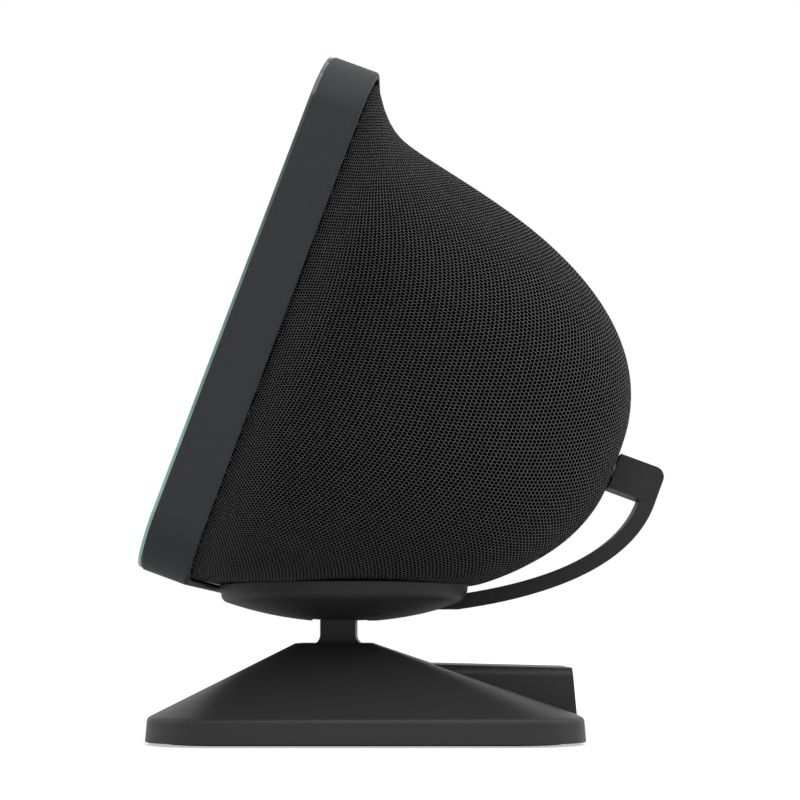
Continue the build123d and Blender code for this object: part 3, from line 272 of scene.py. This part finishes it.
def moulded_abs(name, colour, roughness, mirror=0.15, grain_mm=0.45):
    """Matt ABS with a spark-eroded grain."""
    material, tree, output = new_material(name)
    place = add(tree, "ShaderNodeTexCoord").outputs["Object"]
    grain = add(tree, "ShaderNodeTexNoise",
                {"Vector": place, "Scale": per_metre(grain_mm), "Detail": 2.0, "Roughness": 0.6})
    broad = add(tree, "ShaderNodeTexNoise",
                {"Vector": place, "Scale": per_metre(HANDLING_MM), "Detail": 3.0})
    gloss = add(tree, "ShaderNodeMapRange",
                {"Value": broad.outputs["Fac"],
                 "To Min": roughness - GLOSS_SPREAD, "To Max": roughness + GLOSS_SPREAD})
    speck = add(tree, "ShaderNodeMapRange",
                {"Value": grain.outputs["Fac"], "To Min": 1 - SPECK, "To Max": 1 + SPECK})
    shade = add(tree, "ShaderNodeVectorMath",
                {0: linear(colour)[:3], 3: speck.outputs[0]}, operation="SCALE")
    bump = add(tree, "ShaderNodeBump",
               {"Height": grain.outputs["Fac"], "Strength": GRAIN_BUMP, "Distance": grain_mm * MM / 4})
    shader = add(tree, "ShaderNodeBsdfPrincipled",
                 {"Base Color": shade.outputs[0], "Roughness": gloss.outputs[0], "IOR": 1.5,
                  "Specular IOR Level": mirror, "Normal": bump.outputs[0]})
    tree.links.new(shader.outputs[0], output.inputs["Surface"])
    return material


finish = {
    "charcoal_frame": moulded_abs("moulded_abs_frame", "#303133", 0.5),
    "charcoal_control": moulded_abs("moulded_abs_controls", "#2b2c2e", 0.42),
    "charcoal_stand": moulded_abs("moulded_abs_stand", "#343434", 0.42, 0.18),
    "charcoal_cradle": moulded_abs("moulded_abs_cradle", "#323232", 0.5),
    "black_plastic": moulded_abs("moulded_abs_black", "#141415", 0.55),
}
print("moulded plastics:", len(finish))

# %% [markdown]
# ## Cover glass
#
# The front is a sheet of float glass with a ground edge. From the front it is black, because it is
# printed round the border and the display behind it is off; at the edge the iron in the glass shows
# green. On the edge that green also carries a painted reflection: it is painted darker towards the top
# and lighter towards the foot, broken by a faint mottle. One material does both: the direction of each
# face, in the piece's own axes, tells front from edge, and a box in the plane of the screen tells border
# from display. The last of the edge, against the frame, is the dark line of glue.

# %% Cover glass
DISPLAY_HALF = Vector((87.0, 55.0)) * MM
BORDER_SOFTNESS = 0.05 * MM
EDGE_FACING = 0.8
EDGE_SOFTNESS = 0.1
GLUE_LINE = 0.3 * MM
MOTTLE_MM = 9
# Painted reflection on the glass edge: how light its green is painted at the top and at the foot, and how much the
# mottle takes off.
PAINTED_REFLECTION_TOP = 0.1
PAINTED_REFLECTION_FOOT = 0.75
PAINTED_REFLECTION_MOTTLE = 0.25
EDGE_ROUGHNESS = 0.12
FRONT_ROUGHNESS = 0.04
material, tree, output = new_material("float_glass_ground_edge")
coords = add(tree, "ShaderNodeTexCoord")
facing = add(tree, "ShaderNodeVectorMath",
             {0: coords.outputs["Normal"], 1: -BACK}, operation="DOT_PRODUCT")
is_front = add(tree, "ShaderNodeMapRange",
               {"Value": facing.outputs["Value"],
                "From Min": EDGE_FACING - EDGE_SOFTNESS, "From Max": EDGE_FACING + EDGE_SOFTNESS})
in_plane = add(tree, "ShaderNodeMapping",
               {"Vector": coords.outputs["Object"], "Location": GLASS_MIDDLE,
                "Rotation": (math.radians(90) - LEAN, 0, 0)}, vector_type="TEXTURE")
beyond = add(tree, "ShaderNodeVectorMath", {0: in_plane.outputs[0]}, operation="ABSOLUTE")
beyond = add(tree, "ShaderNodeVectorMath",
             {0: beyond.outputs[0], 1: (*DISPLAY_HALF, 1.0)}, operation="SUBTRACT")
sides = add(tree, "ShaderNodeSeparateXYZ", {0: beyond.outputs[0]})
furthest = add(tree, "ShaderNodeMath",
               {0: sides.outputs["X"], 1: sides.outputs["Y"]}, operation="MAXIMUM")
in_border = add(tree, "ShaderNodeMapRange",
                {"Value": furthest.outputs[0],
                 "From Min": -BORDER_SOFTNESS, "From Max": BORDER_SOFTNESS})
behind = add(tree, "ShaderNodeMix",
             {"Factor": in_border.outputs[0], "A": linear("#0d0f13"), "B": linear("#050506")},
             data_type="RGBA")
ground = add(tree, "ShaderNodeTexNoise",
             {"Vector": coords.outputs["Object"], "Scale": per_metre(MOTTLE_MM), "Detail": 2.0})
height = add(tree, "ShaderNodeSeparateXYZ", {0: in_plane.outputs[0]}).outputs["Y"]
# Painted reflection: the edge's green is painted darker towards the top and lighter towards the foot, broken by
# the mottle.
painted_reflection_by_height = add(tree, "ShaderNodeMapRange",
            {"Value": height, "From Min": DISPLAY_HALF.y, "From Max": -DISPLAY_HALF.y,
             "To Min": PAINTED_REFLECTION_TOP, "To Max": PAINTED_REFLECTION_FOOT})
painted_reflection = add(tree, "ShaderNodeMath",
            {0: painted_reflection_by_height.outputs[0], 1: ground.outputs["Fac"], 2: -PAINTED_REFLECTION_MOTTLE}, operation="MULTIPLY_ADD")
painted_reflection = add(tree, "ShaderNodeMath", {0: painted_reflection_by_height.outputs[0], 1: painted_reflection.outputs[0]}, operation="ADD")
green_with_painted_reflection = add(tree, "ShaderNodeMix",
           {"Factor": painted_reflection.outputs[0], "A": linear("#2b453e"), "B": linear("#86b8a8")},
           data_type="RGBA")
depth = add(tree, "ShaderNodeVectorMath",
            {0: coords.outputs["Object"], 1: BACK}, operation="DOT_PRODUCT")
glue_depth = GLASS_MIDDLE.dot(BACK) + reach("front_glass", BACK) - GLUE_LINE
in_glue = add(tree, "ShaderNodeMath",
              {0: depth.outputs["Value"], 1: glue_depth}, operation="GREATER_THAN")
edge = add(tree, "ShaderNodeMix",
           {"Factor": in_glue.outputs[0], "A": green_with_painted_reflection.outputs["Result"], "B": linear("#0a0b0b")},
           data_type="RGBA")
shade = add(tree, "ShaderNodeMix",
            {"Factor": is_front.outputs[0], "A": edge.outputs["Result"], "B": behind.outputs["Result"]},
            data_type="RGBA")
gloss = add(tree, "ShaderNodeMapRange",
            {"Value": is_front.outputs[0], "To Min": EDGE_ROUGHNESS, "To Max": FRONT_ROUGHNESS})
shader = add(tree, "ShaderNodeBsdfPrincipled",
             {"Base Color": shade.outputs["Result"], "Roughness": gloss.outputs[0], "IOR": 1.52})
tree.links.new(shader.outputs[0], output.inputs["Surface"])
finish["cover_glass"] = material
print("glass with a display of", [round(2 * half / MM) for half in DISPLAY_HALF], "mm")

# %% [markdown]
# ## Knitted cover: the finish
#
# The cover is a spacer knit of black polyester: a honeycomb of holes in a thin net of slightly shiny
# yarn. The holes are painted near black, a painted shade for the dark shell and the shadow seen through
# them. The sheet is pulled over the dome, so its holes are laid out on a flat map of the sheet (the UV
# map, in mm) and follow its stretch. They stand in columns, each shifted by half a hole from the next,
# so the net is two plain grids, the second shifted by half a cell both ways: a point's distance to the
# nearest hole is the smaller of its distances in the two. No knit is quite even, so a broad noise pulls
# the grid about a little, and a fine one breaks the yarn into fibres of varying tone, whose brightest
# specks are painted glints. Gleam and sheen belong to the yarn alone, so the holes keep their painted
# black also where the cloth is seen from the side.

# %% Knitted fabric
HOLE_PITCH_MM = 1.28
COLUMN_MM = 1.54
HOLE_SHARE = 0.44
EDGE_SHARE = 0.06
PULL_MM = 0.3
PULL_CELL_MM = 5
# Scale of the fine noise that gives the yarn its fibre tone and its painted glints.
FIBRES_AND_GLINTS_PER_MM = 1.3
RELIEF = 0.25 * MM
SHEEN = 0.3
GLEAM = 0.2
HALF = (0.5, 0.5, 0)
HEX = math.sqrt(3)
material, tree, output = new_material("polyester_spacer_knit")
flat = add(tree, "ShaderNodeUVMap", uv_map="knit").outputs["UV"]
pull = add(tree, "ShaderNodeTexNoise", {"Vector": flat, "Scale": 1 / PULL_CELL_MM, "Detail": 2.0})
pull = add(tree, "ShaderNodeVectorMath",
           {0: pull.outputs["Color"], 1: (0.5, 0.5, 0.5)}, operation="SUBTRACT")
pull = add(tree, "ShaderNodeVectorMath", {0: pull.outputs[0], 3: PULL_MM}, operation="SCALE")
pulled = add(tree, "ShaderNodeVectorMath", {0: flat, 1: pull.outputs[0]}, operation="ADD")
grid = add(tree, "ShaderNodeVectorMath",
           {0: pulled.outputs[0], 1: (0.5 / COLUMN_MM, 1 / HOLE_PITCH_MM, 0)}, operation="MULTIPLY")
distances = []
for shift in ((0, 0, 0), HALF):
    cell = add(tree, "ShaderNodeVectorMath", {0: grid.outputs[0], 1: shift}, operation="ADD")
    cell = add(tree, "ShaderNodeVectorMath", {0: cell.outputs[0]}, operation="FRACTION")
    cell = add(tree, "ShaderNodeVectorMath", {0: cell.outputs[0], 1: HALF}, operation="SUBTRACT")
    cell = add(tree, "ShaderNodeVectorMath", {0: cell.outputs[0], 1: (HEX, 1, 0)}, operation="MULTIPLY")
    cell = add(tree, "ShaderNodeVectorMath", {0: cell.outputs[0]}, operation="LENGTH")
    distances.append(cell.outputs["Value"])
nearest = add(tree, "ShaderNodeMath", {0: distances[0], 1: distances[1]}, operation="MINIMUM")
yarn = add(tree, "ShaderNodeMapRange",
           {"Value": nearest.outputs[0],
            "From Min": HOLE_SHARE - EDGE_SHARE, "From Max": HOLE_SHARE + EDGE_SHARE},
           interpolation_type="SMOOTHSTEP")
# Fibre tone with painted glints: the fine noise makes the yarn darker and lighter, and its brightest specks stand
# in for glints of shiny filaments.
fibre_and_glint_noise = add(tree, "ShaderNodeTexNoise",
            {"Vector": flat, "Scale": FIBRES_AND_GLINTS_PER_MM, "Detail": 3.0, "Roughness": 0.7})
strand_and_glint = add(tree, "ShaderNodeMapRange",
             {"Value": fibre_and_glint_noise.outputs["Fac"], "From Min": 0.35, "From Max": 0.65})
yarn_tone_and_glints = add(tree, "ShaderNodeMix",
             {"Factor": strand_and_glint.outputs[0], "A": linear("#131314"), "B": linear("#636365")},
             data_type="RGBA")
# Painted shade: the holes are painted near black for the dark shell and the shadow seen through the knit.
shade = add(tree, "ShaderNodeMix",
            {"Factor": yarn.outputs[0], "A": linear("#020202"), "B": yarn_tone_and_glints.outputs["Result"]},
            data_type="RGBA")
bump = add(tree, "ShaderNodeBump", {"Height": yarn.outputs[0], "Strength": 0.9, "Distance": RELIEF})
fuzz = add(tree, "ShaderNodeMath", {0: yarn.outputs[0], 1: SHEEN}, operation="MULTIPLY")
gleam = add(tree, "ShaderNodeMapRange", {"Value": yarn.outputs[0], "To Min": 0.0, "To Max": GLEAM})
shader = add(tree, "ShaderNodeBsdfPrincipled",
             {"Base Color": shade.outputs["Result"], "Roughness": 0.62,
              "Specular IOR Level": gleam.outputs[0], "Sheen Weight": fuzz.outputs[0],
              "Sheen Roughness": 0.4, "Normal": bump.outputs[0]})
tree.links.new(shader.outputs[0], output.inputs["Surface"])
finish["knit_fabric"] = material
print("holes every", HOLE_PITCH_MM, "mm in columns", COLUMN_MM, "mm apart")

# %% [markdown]
# ## Rubber, metals and the pieces inside
#
# What is out of sight still gets its own finish, because the part may be opened or shown in section:
# matt rubber for feet and pads, brushed steel, satin aluminium, bronze, nickel, painted baskets, paper
# cones, and green solder mask on the boards. Each is a base colour broken up at its own scale.

# %% Finishes of the other pieces


def broken_up(name, dark, light, grain_mm, stretch=(1, 1, 1), bump_mm=0.02, **shader_values):
    """A finish whose colour and surface vary with one noise, stretched for brushed or pressed grain."""
    material, tree, output = new_material(name)
    place = add(tree, "ShaderNodeTexCoord").outputs["Object"]
    place = add(tree, "ShaderNodeMapping", {"Vector": place, "Scale": stretch}).outputs[0]
    grain = add(tree, "ShaderNodeTexNoise",
                {"Vector": place, "Scale": per_metre(grain_mm), "Detail": 3.0})
    shade = add(tree, "ShaderNodeMix",
                {"Factor": grain.outputs["Fac"], "A": linear(dark), "B": linear(light)},
                data_type="RGBA")
    bump = add(tree, "ShaderNodeBump",
               {"Height": grain.outputs["Fac"], "Strength": 0.4, "Distance": bump_mm * MM})
    values = {key.replace("_", " ").title(): value for key, value in shader_values.items()}
    shader = add(tree, "ShaderNodeBsdfPrincipled",
                 {"Base Color": shade.outputs["Result"], "Normal": bump.outputs[0], **values})
    tree.links.new(shader.outputs[0], output.inputs["Surface"])
    return material


BRUSHED = (1, 12, 12)
TRACKS = (1, 6, 6)
finish["rubber"] = broken_up("silicone_rubber", "#0e0e0f", "#1b1b1c", 0.5, roughness=0.75)
finish["steel"] = broken_up("brushed_steel", "#8d8f92", "#b6b8ba", 1.5, BRUSHED, 0.01,
                            metallic=1.0, roughness=0.34)
finish["chassis_metal"] = broken_up("satin_aluminium", "#a9abae", "#c4c6c8", 0.8,
                                    metallic=1.0, roughness=0.42)
finish["bearing"] = broken_up("sintered_bronze", "#8a6a34", "#b08b4c", 0.3, metallic=1.0, roughness=0.5)
finish["magnet"] = broken_up("nickel_plate", "#a7a59e", "#c2c0ba", 4.0, metallic=1.0, roughness=0.22)
finish["driver_metal"] = broken_up("painted_pressed_steel", "#151516", "#222224", 0.6, roughness=0.5)
finish["driver_cone"] = broken_up("coated_paper", "#161617", "#262628", 0.9,
                                  bump_mm=0.08, roughness=0.8)
finish["circuit_board"] = broken_up("green_solder_mask", "#0b3d24", "#14603a", 2.5, TRACKS,
                                    roughness=0.35)
finish["display_black"] = broken_up("display_polariser", "#08090b", "#0e1014", 6.0, roughness=0.12)
print("finishes:", len(finish))

# %% [markdown]
# ## From slots to finishes
#
# The record names a slot for each solid, which says what it is made of. One pass over the solids puts
# the finish of that name on each.

# %% Give each solid its finish
slot_of = {entry["node"]: entry["material_slot"] for entry in frame["record"]["subparts"]}
for name, node in frame["nodes"].items():
    for material_slot in node.material_slots:
        material_slot.material = finish[slot_of[name]]
print("finished solids:", len(slot_of))

# %% [markdown]
# ## Knitted cover: the sheet
#
# The real cover is one flat knit, pulled over the dome from behind and tucked into a groove round the
# frame. The sheet here is a grid of rings, from the frame to the socket at the back, dropped onto the
# dome by rays towards its heart. The dome is open over the speaker's foot; points that fall there are
# kept on the plane of the sole, so that the grid stays whole, and their faces are left out.

# %% Drop a sheet on the dome
RINGS = 110
STEPS = 288
SOCKET_RIM = 6.2 * MM
OUTSIDE = 0.3
HEART_DEPTH = 26 * MM
RIM_GAP = 0.3 * MM

dome = frame["nodes"]["fabric_cover"]
dome_surface = BVHTree.FromObject(dome, bpy.context.evaluated_depsgraph_get())
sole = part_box("fabric_cover")[0].z
frame_depth = reach("bezel_frame", BACK)
dome_depth = reach("fabric_cover", BACK)
jack_low, jack_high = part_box("dc_jack")
axis_height = ((jack_low + jack_high) / 2 - GLASS_MIDDLE).dot(UP)
heart = head_point(0, axis_height, frame_depth + HEART_DEPTH)


def spoke(step):
    """Direction of one of the sheet's spokes, square to the dome's axis."""
    turn = 2 * math.pi * step / STEPS
    return ACROSS * math.cos(turn) + UP * math.sin(turn)


def fall(direction):
    """Where a point dropped towards the dome's heart lands, and if that is the opening for the foot."""
    hit = dome_surface.ray_cast(heart + direction * OUTSIDE, -direction)[0]
    if hit is not None and (hit - heart).dot(direction) > 0:
        return hit, False
    return heart + direction * ((sole - heart.z) / direction.z), True


points = []
over_foot = set()
for step in range(STEPS):
    out = spoke(step)
    rim = head_point(0, axis_height, frame_depth + RIM_GAP)
    rim = dome_surface.ray_cast(rim + out * OUTSIDE, -out)[0]
    start = (rim - heart).normalized()
    end = (head_point(0, axis_height, dome_depth) + out * SOCKET_RIM - heart).normalized()
    for ring in range(RINGS):
        place, is_foot = fall(start.slerp(end, ring / (RINGS - 1)))
        points.append(place)
        if is_foot:
            over_foot.add(len(points) - 1)
print("dropped points:", len(points), "over the foot:", len(over_foot))

# %% [markdown]
# ## Knitted cover: smoothing
#
# Cloth under tension bridges the small flats of what lies beneath. Each turn moves every point halfway
# to the middle of its four neighbours; the sheet's two rims stay where they are.

# %% Join and smooth the sheet
SMOOTHING = 14


def knot(step, ring):
    """Number of a point of the sheet."""
    return (step % STEPS) * RINGS + ring


faces = []
for step in range(STEPS):
    for ring in range(RINGS - 1):
        corners = (knot(step, ring), knot(step, ring + 1),
                   knot(step + 1, ring + 1), knot(step + 1, ring))
        if not over_foot.issuperset(corners):
            faces.append(corners)

for turn in range(SMOOTHING):
    eased = list(points)
    for step in range(STEPS):
        for ring in range(1, RINGS - 1):
            around = [knot(step, ring - 1), knot(step, ring + 1),
                      knot(step - 1, ring), knot(step + 1, ring)]
            half_of_mean = sum((points[k] for k in around), Vector()) / 8
            eased[knot(step, ring)] = points[knot(step, ring)] * 0.5 + half_of_mean
    points = eased

sheet_mesh = bpy.data.meshes.new("knitted_cover")
sheet_mesh.from_pydata(points, [], faces)
print("faces of the sheet:", len(faces))

# %% [markdown]
# ## Knitted cover: its flat map
#
# Each point gets its place on the flat knit: as far from the socket as it is along the surface, and at
# the angle that its share of the ring gives. Towards the frame the cloth is stretched less, so the map
# grows a little faster than the surface there and the cells get smaller, as they do in the photo. The
# cloth is cut smaller than the dome by its mean stretch.

# %% Lay the flat knit on the sheet
SLACK_RADIUS = 370 * MM
from_socket = [0.0] * len(points)
share_of_ring = [0.0] * len(points)
for step in range(STEPS):
    run = SOCKET_RIM
    for ring in reversed(range(RINGS)):
        if ring < RINGS - 1:
            run += (points[knot(step, ring)] - points[knot(step, ring + 1)]).length
        from_socket[knot(step, ring)] = run
for ring in range(RINGS):
    run = 0.0
    for step in range(STEPS):
        share_of_ring[knot(step, ring)] = run
        run += (points[knot(step, ring)] - points[knot(step + 1, ring)]).length
    for step in range(STEPS):
        share_of_ring[knot(step, ring)] /= run
knit_map = sheet_mesh.uv_layers.new(name="knit")
for loop in sheet_mesh.loops:
    turn = 2 * math.pi * share_of_ring[loop.vertex_index]
    slack = 1 + (from_socket[loop.vertex_index] / SLACK_RADIUS) ** 2
    radius = from_socket[loop.vertex_index] * slack / MM
    knit_map.data[loop.index].uv = (radius * math.cos(turn), radius * math.sin(turn))

# %% [markdown]
# ## Knitted cover: thickness
#
# A spacer knit is almost a millimetre thick. The points over the foot that no face uses go, the normals
# are turned outwards, and the thickness grows inwards, so the outside keeps the measured shape. The
# cover rides on the head, and the plain solid that carried its mass is hidden.

# %% Thicken the sheet
KNIT_THICKNESS = 0.8 * MM
cover = bpy.data.objects.new("knitted_cover", sheet_mesh)
bpy.context.scene.collection.objects.link(cover)
cover.data.materials.append(finish["knit_fabric"])
cover.select_set(True)
bpy.context.view_layer.objects.active = cover
bpy.ops.object.mode_set(mode="EDIT")
bpy.ops.mesh.select_all(action="SELECT")
bpy.ops.mesh.delete_loose()
bpy.ops.mesh.select_all(action="SELECT")
bpy.ops.mesh.normals_make_consistent(inside=False)
bpy.ops.object.mode_set(mode="OBJECT")
bpy.ops.object.shade_smooth()
thickness = cover.modifiers.new("thickness", "SOLIDIFY")
thickness.thickness = KNIT_THICKNESS
thickness.offset = -1
bpy.ops.object.modifier_apply(modifier=thickness.name)
cover.select_set(False)
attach(cover, "head")
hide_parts("fabric_cover")
print("cover of", len(cover.data.polygons), "faces")
